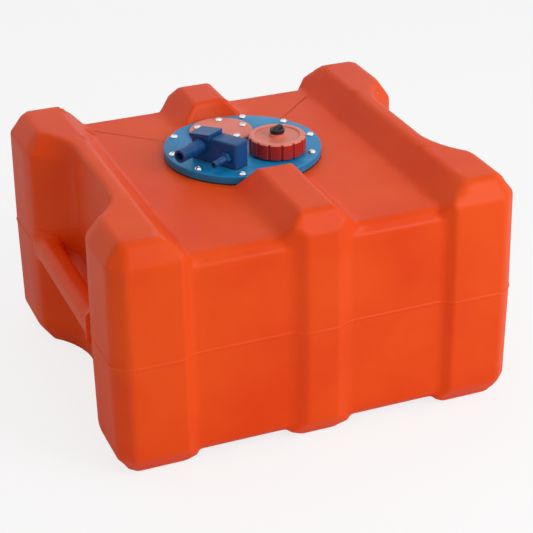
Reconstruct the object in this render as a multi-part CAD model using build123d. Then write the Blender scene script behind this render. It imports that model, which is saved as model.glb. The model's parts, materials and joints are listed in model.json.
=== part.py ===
from build123d import *
import os
from math import atan2, cos, radians, sin, tan

# Portable outboard fuel tank: a one-piece moulded polyethylene shell with two carrying bars,
# and a round flange on its deck that carries the filler, the sender cover and the hose tails.
# Millimetres. Origin: centre of the footprint on the floor. X along the length, -Y the front, +Z up.

# ---- tank shell ----
TANK_LENGTH = 503.0
TANK_WIDTH = 455.0
TANK_HEIGHT = 294.0
WALL = 5.0
PARTING_HEIGHT = 147.0
DRAFT_ANGLE = 0.8
CORNER_CHAMFER = 18.0
CORNER_RADIUS = 12.0
BEAD_PROUD = 1.0
BEAD_WIDTH = 3.0
DECK_DROP = 29.0
PANEL_DROP = 9.5
BELLY_RISE = 9.0
EDGE_RUN = 17.0
EDGE_FALL = 25.0
PANEL_EDGE = 12.0
RIB_TOP_FLAT = 42.0
RIB_TOP_BASE = 92.0
RIB_SIDE_FLAT = 38.0
RIB_SIDE_BASE = 71.0
RIB_FOOT_FLAT = 42.0
RIB_FOOT_BASE = 70.0
RAIL_TOP_FLAT = 183.0
RAIL_TOP_BASE = 154.0
RAIL_SIDE_FLAT = 167.0
RAIL_SIDE_BASE = 155.0
RAIL_FOOT_FLAT = 167.0
RAIL_FOOT_BASE = 155.0
CORE_END_COVER = 12.0

# ---- hand notches and carrying bars ----
NOTCH_DEPTH = 48.0
NOTCH_FLOOR = 150.0
NOTCH_FLOOR_SHARE = 0.15
NOTCH_CORNER = 26.0
NOTCH_LIP_IN = 5.0
NOTCH_LIP_ANGLE = 12.0
NOTCH_LIP_RADIUS = 22.0
BAR_DEPTH = 28.0
BAR_HEIGHT = 34.0
BAR_ROUND = 12.0
BAR_SET_BACK = 0.5

# ---- flange on the deck ----
FLANGE_X = 2.0
FLANGE_Y = 32.5
FLANGE_LEDGE = 19.5
FLANGE_THICKNESS = 9.0
FLANGE_EDGE_ROUND = 1.5
FLANGE_SPIGOT_GAP = 1.0
FLANGE_SPIGOT_WALL = 3.0
FLANGE_SPIGOT_DEPTH = 8.0
GASKET_THICKNESS = 2.0
DECK_HOLE_DIAMETER = 156.0
DECK_RING_DEPTH = 16.0
BOLT_OFFSET = 11.5
BOLT_PLACES = 10
BOLT_SKIPPED = 3
BOLT_FIRST_ANGLE = -3.0
NOSE_GAP = 2.5
NOSE_LEAN = 11.0

# ---- screws ----
SCREW_DIAMETER = 5.0
SCREW_HEAD_DIAMETER = 9.5
SCREW_HEAD_HEIGHT = 3.2
SCREW_RECESS_DIAMETER = 3.4
SCREW_RECESS_DEPTH = 1.6
SCREW_HOLE_GAP = 0.25
THREAD_GAP = 0.05
FLANGE_SCREW_GRIP = 9.0
INSERT_DIAMETER = 9.0
INSERT_LENGTH = 12.0
INSERT_FLOOR = 2.0

# ---- sender opening and its blank cover ----
SENDER_ANGLE = 103.0
SENDER_INSET = 4.0
SENDER_COVER_DIAMETER = 79.0
SENDER_COVER_THICKNESS = 3.0
SENDER_GASKET_THICKNESS = 1.5
SENDER_HOLE_DIAMETER = 44.0
SENDER_BOLT_CIRCLE = 60.0
SENDER_BOLTS = 5
SENDER_FIRST_ANGLE = 147.0
SENDER_BUSH_DIAMETER = 7.0
SENDER_BUSH_LENGTH = 7.0
SENDER_SCREW_GRIP = 6.0

# ---- filler neck and cap ----
CAP_ANGLE = -48.0
CAP_INSET = 3.5
NECK_BORE = 45.0
NECK_WALL = 4.5
NECK_HEIGHT = 15.0
CAP_DIAMETER = 70.0
CAP_FLOOR_GAP = 2.5
CAP_BORE_GAP = 2.2
CAP_TOP_THICKNESS = 3.5
CAP_DISH_DIAMETER = 56.0
CAP_DISH_DEPTH = 1.5
CAP_GRIPS = 14
CAP_GRIP_WIDTH = 3.4
CAP_GRIP_DEPTH = 2.2
CAP_GASKET_THICKNESS = 2.0
HUB_DIAMETER = 20.0
HUB_HEIGHT = 3.5
SEAT_GAP = 0.3
FACE_GAP = 0.1

# ---- vent screw on the cap ----
KNOB_DIAMETER = 18.0
KNOB_HEIGHT = 4.0
KNOB_EDGE_ROUND = 0.8
KNOB_TAB_LENGTH = 16.0
KNOB_TAB_WIDTH = 8.0
KNOB_TAB_HEIGHT = 4.5
KNOB_TAB_SHIFT = 3.0
KNOB_TAB_ROUND = 3.5
KNOB_TAB_ANGLE = 32.0
VENT_STEM_DIAMETER = 6.0
VENT_STEM_GAP = 0.08
VENT_STEM_TAIL = 3.0
VENT_FOOT_DIAMETER = 10.0
VENT_FOOT_THICKNESS = 1.5
VENT_WASHER_DIAMETER = 15.0
VENT_WASHER_THICKNESS = 1.0

# ---- fitting housing: s runs across its depth, t along its length, both turned with it ----
HOUSING_ANGLE = 32.0
HOUSING_T = 7.0
HOUSING_DEPTH = 24.0
HOUSING_LENGTH = 70.0
HOUSING_HEIGHT = 31.0
HOUSING_ROUND = 4.0
HOUSING_PAD = 1.5
LID_LENGTH = 30.0
LID_THIN = 3.0
LID_THICK = 7.0
LID_GROOVE = 2.2
LID_OVERHANG = 1.5
LID_PLUG_DEPTH = 3.0
HOUSING_SCREW_DIAMETER = 4.0
HOUSING_SCREW_GRIP = 6.0
HOUSING_SCREW_HEAD = 7.0
HOUSING_SCREW_HEAD_HEIGHT = 2.6
HOUSING_SCREW_INSET = 5.0
HOUSING_SCREW_SPACING = 9.0
HOUSING_SCREW_CLEAR = 0.5

# ---- hose tails ----
VENT_T = -13.0
FUEL_T = 27.0
VENT_TAIL_RISE = 19.0
FUEL_TAIL_RISE = 13.0
VENT_TAIL_DIAMETER = 16.0
VENT_TAIL_BORE = 10.0
VENT_TAIL_LENGTH = 40.0
VENT_TAIL_LAND = 18.0
VENT_COLLAR_DIAMETER = 19.0
VENT_COLLAR_LENGTH = 3.0
VENT_PLUG_DIAMETER = 15.0
VENT_PLUG_LENGTH = 5.5
FUEL_TAIL_DIAMETER = 8.0
FUEL_TAIL_BORE = 4.5
FUEL_TAIL_LENGTH = 26.0
FUEL_TAIL_LAND = 10.0
FUEL_HEX_ACROSS = 13.0
FUEL_HEX_LENGTH = 6.0
HEX_SIDES = 6
FUEL_PLUG_DIAMETER = 10.0
FUEL_PLUG_LENGTH = 7.0
BARB_RINGS = 3
BARB_RISE = 0.9
PLUG_GAP = 0.1
ORING_SECTION = 1.6
ORING_BITE = 0.05

# ---- passages, valves and pick-up ----
VENT_RISER_DIAMETER = 13.0
FUEL_RISER_DIAMETER = 8.4
FUEL_RISER_TOP = 20.0
BALL_DIAMETER = 7.9
BALL_SEAT_DIAMETER = 6.0
SPRING_DIAMETER = 5.2
SPRING_WIRE = 0.6
SPRING_TURNS = 5
TUBE_DIAMETER = 10.0
TUBE_BORE = 6.0
TUBE_SOCKET_LENGTH = 14.0
TUBE_SOCKET_WALL = 2.0
STRAINER_DIAMETER = 16.0
STRAINER_LENGTH = 30.0
STRAINER_WALL = 1.5
STRAINER_GRIP = 12.0
STRAINER_SLOTS = 8
STRAINER_SLOT_WIDTH = 2.0
STRAINER_SLOT_HEIGHT = 10.0
STRAINER_FLOOR_GAP = 6.0
CAGE_BORE = 16.0
CAGE_WALL = 2.0
CAGE_LENGTH = 30.0
CAGE_END = 2.5
CAGE_SPIGOT_BORE = 9.0
CAGE_SPIGOT_REACH = 6.0
CAGE_SLOTS = 4
CAGE_SLOT_WIDTH = 5.0
CAGE_SLOT_HEIGHT = 14.0
FLOAT_DIAMETER = 15.0
FLOAT_HEIGHT = 16.0
FLOAT_NOSE = 4.0

# ---- worked out ----
HALF_LENGTH = TANK_LENGTH / 2 - BEAD_PROUD
HALF_WIDTH = TANK_WIDTH / 2 - BEAD_PROUD
CORE_HALF_LENGTH = TANK_LENGTH / 2 - NOTCH_DEPTH - CORE_END_COVER
DECK = TANK_HEIGHT - DECK_DROP
GASKET_TOP = DECK + GASKET_THICKNESS
FLANGE_TOP = GASKET_TOP + FLANGE_THICKNESS
HOUSING_BASE = FLANGE_TOP + HOUSING_PAD
SENDER_SEAT = FLANGE_TOP + SENDER_GASKET_THICKNESS
SENDER_TOP = SENDER_SEAT + SENDER_COVER_THICKNESS
NECK_TOP = FLANGE_TOP + NECK_HEIGHT
CAP_BASE = FLANGE_TOP + CAP_FLOOR_GAP
CAP_GASKET_TOP = NECK_TOP + SEAT_GAP + CAP_GASKET_THICKNESS
CAP_CEILING = CAP_GASKET_TOP + FACE_GAP
CAP_DISH = CAP_CEILING + CAP_TOP_THICKNESS
CAP_TOP = CAP_DISH + CAP_DISH_DEPTH
NECK_RADIUS = NECK_BORE / 2 + NECK_WALL
CAP_BORE_RADIUS = NECK_RADIUS + CAP_BORE_GAP
HUB_TOP = CAP_DISH + HUB_HEIGHT
WASHER_BASE = HUB_TOP + FACE_GAP
KNOB_BASE = WASHER_BASE + VENT_WASHER_THICKNESS + FACE_GAP
FLANGE_DIAMETER = DECK_HOLE_DIAMETER + 2 * FLANGE_LEDGE
BOLT_CIRCLE = DECK_HOLE_DIAMETER + 2 * BOLT_OFFSET
SPIGOT_RADIUS = DECK_HOLE_DIAMETER / 2 - FLANGE_SPIGOT_GAP
SPIGOT_BORE_RADIUS = SPIGOT_RADIUS - FLANGE_SPIGOT_WALL
SENDER_REACH = SPIGOT_BORE_RADIUS - SENDER_INSET - SENDER_HOLE_DIAMETER / 2
SENDER_X = SENDER_REACH * cos(radians(SENDER_ANGLE))
SENDER_Y = SENDER_REACH * sin(radians(SENDER_ANGLE))
CAP_REACH = SPIGOT_BORE_RADIUS - CAP_INSET - NECK_BORE / 2
CAP_X = CAP_REACH * cos(radians(CAP_ANGLE))
CAP_Y = CAP_REACH * sin(radians(CAP_ANGLE))
HOUSING_TOP = HOUSING_BASE + HOUSING_HEIGHT
HOUSING_SCREW_T = HOUSING_T + HOUSING_LENGTH / 2 - HOUSING_SCREW_INSET
HOUSING_SCREW_REACH = SPIGOT_BORE_RADIUS - HOUSING_SCREW_CLEAR - HOUSING_SCREW_HEAD / 2
HOUSING_S = HOUSING_SCREW_SPACING / 2 - (HOUSING_SCREW_REACH ** 2 - HOUSING_SCREW_T ** 2) ** 0.5
LID_SEAT = HOUSING_TOP - LID_THIN
HOUSING_FRONT = HOUSING_S - HOUSING_DEPTH / 2
CAGE_BASE = GASKET_TOP - CAGE_LENGTH
STRAINER_BASE = BELLY_RISE + WALL + STRAINER_FLOOR_GAP
TAPER_REACH = 2 * PANEL_DROP
PARTING_SECTION = 1
CUT_MARGIN = 1.0
CENTRE_MIN = (Align.CENTER, Align.CENTER, Align.MIN)


def draft_at(z):
    """How far a side wall has leaned in at height z, measured from the parting line."""
    return abs(z - PARTING_HEIGHT) * tan(radians(DRAFT_ANGLE))


def corner_shift(inset, rise, run):
    """Sideways shift of a slope's foot when both faces move in by the same inset."""
    return inset * tan(atan2(rise, run) / 2)


def rod(radius, low, high):
    """Upright cylinder from height low to height high."""
    return Pos(0, 0, low) * Cylinder(radius, high - low, align=CENTRE_MIN)


def ring(outer, inner, low, high):
    """Upright tube."""
    return rod(outer, low, high) - rod(inner, low - CUT_MARGIN, high + CUT_MARGIN)


def edge_levels(inset):
    """Heights of an outer wall's bends with how far the wall stands in there, for a skin set in by inset."""
    low = corner_shift(inset, EDGE_RUN, EDGE_FALL)
    flat = EDGE_RUN + corner_shift(inset, EDGE_FALL, EDGE_RUN)
    bend = EDGE_FALL + low
    top_bend = TANK_HEIGHT - bend
    return [
        (inset, draft_at(0) + flat),
        (bend, draft_at(bend) + inset),
        (PARTING_HEIGHT, inset),
        (top_bend, draft_at(top_bend) + inset),
        (TANK_HEIGHT - inset, draft_at(TANK_HEIGHT) + flat),
    ]


def block_outline(inset):
    """Plan of the whole block: a rectangle with cut and rounded corners."""
    leg = CORNER_CHAMFER - inset * (2 - 2 ** 0.5)
    x = HALF_LENGTH - inset
    y = HALF_WIDTH - inset
    corners = [
        (x, -y + leg), (x, y - leg), (x - leg, y), (-x + leg, y),
        (-x, y - leg), (-x, -y + leg), (-x + leg, -y), (x - leg, -y),
    ]
    plan = Polygon(*corners, align=None)
    return fillet(plan.vertices(), CORNER_RADIUS * leg / CORNER_CHAMFER)


def envelope(inset):
    """The block with its draft and its sloped top and bottom edges."""
    return loft([Pos(0, 0, z) * block_outline(back) for z, back in edge_levels(inset)], ruled=True)


def wall_profile(half_width, low, high, run, fall, inset):
    """Front-to-back section of a drafted band with sloped edges, set in by inset."""
    foot = corner_shift(inset, run, fall)
    flat = run + corner_shift(inset, fall, run)
    rows = [
        (half_width - draft_at(low) - flat, low + inset),
        (half_width - draft_at(low + fall) - inset, low + fall + foot),
        (half_width - inset, PARTING_HEIGHT),
        (half_width - draft_at(high - fall) - inset, high - fall - foot),
        (half_width - draft_at(high) - flat, high - inset),
    ]
    points = rows + [(-y, z) for y, z in reversed(rows)]
    return Plane.YZ * Polygon(*points, align=None)


def core(inset):
    """The recessed body between the bands: deck, side panels and belly."""
    profile = wall_profile(HALF_WIDTH - PANEL_DROP, BELLY_RISE, DECK, PANEL_EDGE, PANEL_EDGE, inset)
    return extrude(profile, CORE_HALF_LENGTH - inset, both=True)


def slope_rows(flat, base, drop, level, inset):
    """A band edge's two corners as (half width, depth below the band's face)."""
    shift = corner_shift(inset, drop, abs(base - flat))
    side = 1 if base > flat else -1
    return (flat - side * shift, level - inset), (base - side * shift, level - drop - inset)


def side_taper(flat, base, inset):
    """Plan wedge that narrows a band towards its front and back faces, following the draft."""
    shift = corner_shift(inset, PANEL_DROP, abs(base - flat))
    side = 1 if base > flat else -1
    slope = (base - flat) / PANEL_DROP
    sections = []
    for z in (-CUT_MARGIN, PARTING_HEIGHT, TANK_HEIGHT + CUT_MARGIN):
        y = HALF_WIDTH - draft_at(z) - inset
        outer = flat - side * shift - slope * CUT_MARGIN
        inner = outer + slope * (TAPER_REACH + CUT_MARGIN)
        sections.append((z, y + CUT_MARGIN, y - TAPER_REACH, outer, inner))
    return sections


def rib(inset):
    """The middle band that runs round front, top, back and belly."""
    top, top_base = slope_rows(RIB_TOP_FLAT / 2, RIB_TOP_BASE / 2, DECK_DROP, TANK_HEIGHT, inset)
    foot_shift = corner_shift(inset, BELLY_RISE, (RIB_FOOT_BASE - RIB_FOOT_FLAT) / 2)
    foot = (RIB_FOOT_FLAT / 2 - foot_shift, inset)
    foot_base = (RIB_FOOT_BASE / 2 - foot_shift, BELLY_RISE + inset)
    right = [foot, foot_base, top_base, top]
    section = Polygon(*right, *[(-x, z) for x, z in reversed(right)], align=None)
    band = extrude(Plane.XZ * section, HALF_WIDTH, both=True)
    profile = wall_profile(HALF_WIDTH, 0, TANK_HEIGHT, EDGE_RUN, EDGE_FALL, inset)
    band = band & extrude(profile, RIB_TOP_BASE, both=True)
    plans = []
    for z, out_y, in_y, outer, inner in side_taper(RIB_SIDE_FLAT / 2, RIB_SIDE_BASE / 2, inset):
        right = [(outer, -out_y), (inner, -in_y), (inner, in_y), (outer, out_y)]
        plans.append(Pos(0, 0, z) * Polygon(*right, *[(-x, y) for x, y in reversed(right)], align=None))
    return band & loft(plans, ruled=True)


def end_frames(inset):
    """The two end bands: corner blocks joined over the deck and under the belly by rails."""
    top, top_base = slope_rows(RAIL_TOP_FLAT, RAIL_TOP_BASE, DECK_DROP, TANK_HEIGHT, inset)
    foot_shift = corner_shift(inset, BELLY_RISE, RAIL_FOOT_FLAT - RAIL_FOOT_BASE)
    foot = (RAIL_FOOT_FLAT + foot_shift, inset)
    foot_base = (RAIL_FOOT_BASE + foot_shift, BELLY_RISE + inset)
    low_edge = (RAIL_FOOT_FLAT + foot_shift, -CUT_MARGIN)
    high_edge = (top[0], TANK_HEIGHT + CUT_MARGIN)
    far_low = (TANK_LENGTH, -CUT_MARGIN)
    far_high = (TANK_LENGTH, TANK_HEIGHT + CUT_MARGIN)
    section = Polygon(low_edge, foot, foot_base, top_base, top, high_edge, far_high, far_low, align=None)
    side = extrude(Plane.XZ * section, TANK_WIDTH, both=True)
    plans = []
    for z, out_y, in_y, outer, inner in side_taper(RAIL_SIDE_FLAT, RAIL_SIDE_BASE, inset):
        points = [
            (outer, -out_y), (inner, -in_y), (inner, in_y), (outer, out_y),
            (TANK_LENGTH, out_y), (TANK_LENGTH, -out_y),
        ]
        plans.append(Pos(0, 0, z) * Polygon(*points, align=None))
    right = envelope(inset) & side & loft(plans, ruled=True) - notch(inset)
    return right + mirror(right, Plane.YZ)


def notch_outline(grow, floor_grow):
    """Plan of a hand notch at the +X end, its flanks moved out by grow and its floor by floor_grow."""
    lean = radians(NOTCH_LIP_ANGLE)
    floor_x = TANK_LENGTH / 2 - NOTCH_DEPTH
    lip_x = TANK_LENGTH / 2 - NOTCH_LIP_IN
    out_x = TANK_LENGTH / 2 + NOTCH_DEPTH
    flank = NOTCH_FLOOR / 2 - floor_x
    out_y = lip_x + flank + (out_x - lip_x + grow / cos(lean)) / tan(lean)
    flank += grow * 2 ** 0.5
    in_x = floor_x - floor_grow
    tip_x = lip_x + grow * (2 ** 0.5 * tan(lean) - 1 / cos(lean)) / (1 - tan(lean))
    half = [(in_x, in_x + flank), (tip_x, tip_x + flank), (out_x, out_y)]
    plan = Polygon(*[(x, -y) for x, y in half], *reversed(half), align=None)
    inner = plan.vertices().sort_by(Axis.X)
    plan = fillet(inner[2:4], NOTCH_LIP_RADIUS)
    return fillet(plan.vertices().sort_by(Axis.X)[0:2], NOTCH_CORNER + floor_grow)


def notch(inset):
    """The notch as a cutter: its flanks follow the draft and the sloped edges, its floor by a share."""
    levels = edge_levels(inset)
    slope = EDGE_RUN / EDGE_FALL
    reach = inset + CUT_MARGIN
    rows = [(levels[0][0] - reach, levels[0][1] + reach * slope)]
    rows += levels[1:4]
    rows.append((levels[4][0] + reach, levels[4][1] + reach * slope))
    plans = []
    for z, grow in rows:
        plans.append(Pos(0, 0, z) * notch_outline(grow, inset + (grow - inset) * NOTCH_FLOOR_SHARE))
    return loft(plans, ruled=True)


def nose_cutter(inset):
    """Cone round the flange that stops the middle band short of it."""
    low = FLANGE_DIAMETER / 2 + NOSE_GAP + inset
    cone = Cone(low, low + NOSE_LEAN, DECK_DROP, align=CENTRE_MIN)
    return Pos(FLANGE_X, FLANGE_Y, DECK - inset) * (cone + rod(low + NOSE_LEAN, DECK_DROP, 2 * DECK_DROP))


def skin(inset):
    """The whole outer form, set in by inset."""
    return core(inset) + (rib(inset) - nose_cutter(inset)) + end_frames(inset)


def carrying_bars():
    """Bars across the two notches at the parting line."""
    x = TANK_LENGTH / 2 - BEAD_PROUD - BAR_SET_BACK - BAR_DEPTH / 2
    reach = NOTCH_FLOOR + 2 * (NOTCH_DEPTH - NOTCH_LIP_IN)
    bar = fillet(Box(BAR_DEPTH, reach, BAR_HEIGHT).edges().filter_by(Axis.Y), BAR_ROUND)
    return Pos(x, 0, PARTING_HEIGHT) * bar + Pos(-x, 0, PARTING_HEIGHT) * bar


def at_flange(shape):
    """Move a shape drawn about the flange's axis to its place on the deck."""
    return Pos(FLANGE_X, FLANGE_Y, 0) * shape


def flange_places():
    """Screw places on the flange: an even circle with one place left free beside the sender cover."""
    radius = BOLT_CIRCLE / 2
    places = []
    for index in range(BOLT_PLACES):
        if index != BOLT_SKIPPED:
            angle = radians(BOLT_FIRST_ANGLE + index * 360 / BOLT_PLACES)
            places.append((radius * cos(angle), radius * sin(angle)))
    return places


def sender_places():
    """Screw places round the sender opening, about the flange's axis."""
    radius = SENDER_BOLT_CIRCLE / 2
    places = []
    for index in range(SENDER_BOLTS):
        angle = radians(SENDER_FIRST_ANGLE - index * 360 / SENDER_BOLTS)
        places.append((SENDER_X + radius * cos(angle), SENDER_Y + radius * sin(angle)))
    return places


def spread(shape, places):
    """Copies of one shape at each place."""
    return [Pos(x, y, 0) * shape for x, y in places]


def pan_screw(seat, length, diameter, head_diameter, head_height):
    """Pan-head screw with its head on height seat and its shank going down."""
    head = rod(head_diameter / 2, seat, seat + head_height)
    head = fillet(head.edges().group_by(Axis.Z)[-1], head_height / 2)
    recess = rod(SCREW_RECESS_DIAMETER / 2, seat + head_height - SCREW_RECESS_DEPTH, seat + 2 * head_height)
    return head + rod(diameter / 2, seat - length, seat + CUT_MARGIN) - recess


def parting_plan(inset):
    """The outer form's plan at the parting line."""
    middle = Rectangle(2 * (CORE_HALF_LENGTH - inset), 2 * (HALF_WIDTH - PANEL_DROP - inset))
    level = PARTING_SECTION
    _, out_y, in_y, outer, inner = side_taper(RIB_SIDE_FLAT / 2, RIB_SIDE_BASE / 2, inset)[level]
    right = [(outer, -out_y), (inner, -in_y), (inner, in_y), (outer, out_y)]
    band = Polygon(*right, *[(-x, y) for x, y in reversed(right)], align=None)
    band &= Rectangle(TANK_LENGTH, 2 * (HALF_WIDTH - inset))
    _, out_y, in_y, outer, inner = side_taper(RAIL_SIDE_FLAT, RAIL_SIDE_BASE, inset)[level]
    side = [(outer, -out_y), (inner, -in_y), (inner, in_y), (outer, out_y)]
    side += [(TANK_LENGTH, out_y), (TANK_LENGTH, -out_y)]
    end = (block_outline(inset) & Polygon(*side, align=None)) - notch_outline(inset, inset)
    return middle + band + end + mirror(end, Plane.YZ)


def parting_bead():
    """The ridge that the mould's joint leaves round the shell."""
    level = Pos(0, 0, PARTING_HEIGHT)
    return level * extrude(parting_plan(-BEAD_PROUD), BEAD_WIDTH / 2, both=True)


def tank_shell():
    body = skin(0) + parting_bead() + carrying_bars()
    mouth = at_flange(rod(DECK_HOLE_DIAMETER / 2, DECK - 2 * DECK_RING_DEPTH, DECK + CUT_MARGIN))
    pockets = spread(rod(INSERT_DIAMETER / 2, DECK - INSERT_LENGTH, DECK + CUT_MARGIN), flange_places())
    cavity = skin(WALL) - at_flange(rod(FLANGE_DIAMETER / 2, DECK - DECK_RING_DEPTH, DECK))
    return body - [cavity, mouth] - [at_flange(pocket) for pocket in pockets]


def flange_inserts():
    bush = rod(INSERT_DIAMETER / 2, DECK - INSERT_LENGTH, DECK)
    bush -= rod(SCREW_DIAMETER / 2 + THREAD_GAP, DECK - INSERT_LENGTH + INSERT_FLOOR, DECK + CUT_MARGIN)
    return [at_flange(piece) for piece in spread(bush, flange_places())]


def flange_gasket():
    disc = ring(FLANGE_DIAMETER / 2, DECK_HOLE_DIAMETER / 2, DECK, GASKET_TOP)
    hole = rod(SCREW_DIAMETER / 2 + SCREW_HOLE_GAP, DECK - CUT_MARGIN, GASKET_TOP + CUT_MARGIN)
    return at_flange(disc - spread(hole, flange_places()))


def on_housing(s, t):
    """Place in the housing's turned frame, about the flange's axis: s towards its back, t along it."""
    turn = radians(HOUSING_ANGLE)
    return s * cos(turn) + t * sin(turn), s * sin(turn) - t * cos(turn)


def in_housing(shape, s=0.0, t=0.0):
    """Turn a shape to the housing's frame and carry it to (s, t)."""
    x, y = on_housing(s, t)
    return Pos(FLANGE_X + x, FLANGE_Y + y, 0) * Rot(0, 0, HOUSING_ANGLE) * shape


def housing_screw_places():
    """The two screws at the fuel end; the float cage clamps the vent end."""
    half = HOUSING_SCREW_SPACING / 2
    return [(HOUSING_S - half, HOUSING_SCREW_T), (HOUSING_S + half, HOUSING_SCREW_T)]


def flange_plate():
    plate = rod(FLANGE_DIAMETER / 2, GASKET_TOP, FLANGE_TOP)
    plate = fillet(plate.edges().group_by(Axis.Z)[-1], FLANGE_EDGE_ROUND)
    tip = GASKET_TOP - FLANGE_SPIGOT_DEPTH
    plate += ring(SPIGOT_RADIUS, SPIGOT_BORE_RADIUS, tip, GASKET_TOP + CUT_MARGIN)
    low = GASKET_TOP - CUT_MARGIN
    high = FLANGE_TOP + CUT_MARGIN
    plate -= Pos(CAP_X, CAP_Y, 0) * rod(NECK_BORE / 2, low, high)
    plate -= Pos(SENDER_X, SENDER_Y, 0) * rod(SENDER_HOLE_DIAMETER / 2, low, high)
    plate -= spread(rod(SCREW_DIAMETER / 2 + SCREW_HOLE_GAP, low, high), flange_places())
    plate -= spread(rod(SENDER_BUSH_DIAMETER / 2, FLANGE_TOP - SENDER_BUSH_LENGTH, high), sender_places())
    plate = at_flange(plate)
    socket = TUBE_DIAMETER / 2 + THREAD_GAP
    mouth = GASKET_TOP - TUBE_SOCKET_LENGTH
    plate += in_housing(rod(socket + TUBE_SOCKET_WALL, mouth, GASKET_TOP + CUT_MARGIN), HOUSING_S, FUEL_T)
    plate -= in_housing(rod(socket, mouth - CUT_MARGIN, GASKET_TOP), HOUSING_S, FUEL_T)
    plate -= in_housing(rod(BALL_SEAT_DIAMETER / 2, mouth, high), HOUSING_S, FUEL_T)
    plate -= in_housing(rod(VENT_RISER_DIAMETER / 2 + SCREW_HOLE_GAP, low, high), HOUSING_S, VENT_T)
    hole = rod(HOUSING_SCREW_DIAMETER / 2 + SCREW_HOLE_GAP, low, high)
    return plate - [in_housing(hole, s, t) for s, t in housing_screw_places()]


def flange_screws():
    screw = pan_screw(
        FLANGE_TOP, FLANGE_THICKNESS + GASKET_THICKNESS + FLANGE_SCREW_GRIP,
        SCREW_DIAMETER, SCREW_HEAD_DIAMETER, SCREW_HEAD_HEIGHT,
    )
    return [at_flange(piece) for piece in spread(screw, flange_places())]


def sender_bushes():
    low = FLANGE_TOP - SENDER_BUSH_LENGTH
    bush = ring(SENDER_BUSH_DIAMETER / 2, SCREW_DIAMETER / 2 + THREAD_GAP, low, FLANGE_TOP)
    return [at_flange(piece) for piece in spread(bush, sender_places())]


def drill_sender(disc):
    """Cut the sender's ring of screw holes through a disc."""
    hole = rod(SCREW_DIAMETER / 2 + SCREW_HOLE_GAP, FLANGE_TOP - CUT_MARGIN, SENDER_TOP + CUT_MARGIN)
    return at_flange(disc - spread(hole, sender_places()))


def sender_gasket():
    disc = ring(SENDER_COVER_DIAMETER / 2, SENDER_HOLE_DIAMETER / 2, FLANGE_TOP, SENDER_SEAT)
    return drill_sender(Pos(SENDER_X, SENDER_Y, 0) * disc)


def sender_cover():
    disc = rod(SENDER_COVER_DIAMETER / 2, SENDER_SEAT, SENDER_TOP)
    disc = fillet(disc.edges().group_by(Axis.Z)[-1], SENDER_COVER_THICKNESS / 3)
    disc += rod(SENDER_HOLE_DIAMETER / 2 - SCREW_HOLE_GAP, FLANGE_TOP - SENDER_COVER_THICKNESS, SENDER_SEAT)
    return drill_sender(Pos(SENDER_X, SENDER_Y, 0) * disc)


def sender_screws():
    length = SENDER_TOP - FLANGE_TOP + SENDER_SCREW_GRIP
    screw = pan_screw(SENDER_TOP, length, SCREW_DIAMETER, SCREW_HEAD_DIAMETER, SCREW_HEAD_HEIGHT)
    return [at_flange(piece) for piece in spread(screw, sender_places())]


def at_cap(shape):
    """Move a shape drawn about the cap's axis to its place."""
    return Pos(FLANGE_X + CAP_X, FLANGE_Y + CAP_Y, 0) * shape


def filler_neck():
    """The neck that the cap screws on to, welded on to the plate round its filler hole."""
    return at_cap(ring(NECK_RADIUS, NECK_BORE / 2, FLANGE_TOP, NECK_TOP))


def filler_cap():
    cap = rod(CAP_DIAMETER / 2, CAP_BASE, CAP_TOP)
    cap = chamfer(cap.edges().group_by(Axis.Z)[-1], CAP_GRIP_DEPTH / 2)
    cap -= rod(CAP_DISH_DIAMETER / 2, CAP_DISH, CAP_TOP + CUT_MARGIN)
    cap -= rod(CAP_BORE_RADIUS, CAP_BASE - CUT_MARGIN, CAP_CEILING)
    cap += rod(HUB_DIAMETER / 2, CAP_DISH, HUB_TOP)
    groove = Box(2 * CAP_GRIP_DEPTH, CAP_GRIP_WIDTH, 2 * (CAP_TOP - CAP_BASE) + CUT_MARGIN)
    groove = Pos(CAP_DIAMETER / 2, 0, CAP_TOP) * groove
    cap -= [Rot(0, 0, index * 360 / CAP_GRIPS) * groove for index in range(CAP_GRIPS)]
    cap -= rod(VENT_STEM_DIAMETER / 2 + VENT_STEM_GAP, CAP_CEILING - CUT_MARGIN, HUB_TOP + CUT_MARGIN)
    return at_cap(cap)


def cap_gasket():
    low = NECK_TOP + SEAT_GAP
    return at_cap(ring(CAP_BORE_RADIUS - SEAT_GAP, NECK_BORE / 2 - SEAT_GAP, low, CAP_GASKET_TOP))


def vent_washer():
    bore = VENT_STEM_DIAMETER / 2 + VENT_STEM_GAP
    return at_cap(ring(VENT_WASHER_DIAMETER / 2, bore, WASHER_BASE, WASHER_BASE + VENT_WASHER_THICKNESS))


def vent_knob():
    top = KNOB_BASE + KNOB_HEIGHT
    knob = rod(KNOB_DIAMETER / 2, KNOB_BASE, top)
    knob = fillet(knob.edges().group_by(Axis.Z)[-1], KNOB_EDGE_ROUND)
    tab = Box(KNOB_TAB_LENGTH, KNOB_TAB_WIDTH, KNOB_TAB_HEIGHT + KNOB_HEIGHT / 2, align=CENTRE_MIN)
    tab = fillet(tab.edges().filter_by(Axis.Z), KNOB_TAB_ROUND)
    tab = fillet(tab.edges().group_by(Axis.Z)[-1], KNOB_EDGE_ROUND)
    knob += Rot(0, 0, KNOB_TAB_ANGLE) * Pos(KNOB_TAB_SHIFT, 0, top - KNOB_HEIGHT / 2) * tab
    foot_top = CAP_CEILING - VENT_STEM_TAIL
    knob += rod(VENT_STEM_DIAMETER / 2, foot_top - VENT_FOOT_THICKNESS, KNOB_BASE + CUT_MARGIN)
    knob += rod(VENT_FOOT_DIAMETER / 2, foot_top - VENT_FOOT_THICKNESS, foot_top)
    return at_cap(knob)


def housing_block(low, high):
    """A rounded block on the housing's footprint, in the housing's frame at the origin."""
    plan = RectangleRounded(HOUSING_DEPTH, HOUSING_LENGTH, HOUSING_ROUND)
    return extrude(Pos(0, 0, low) * plan, high - low)


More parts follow.
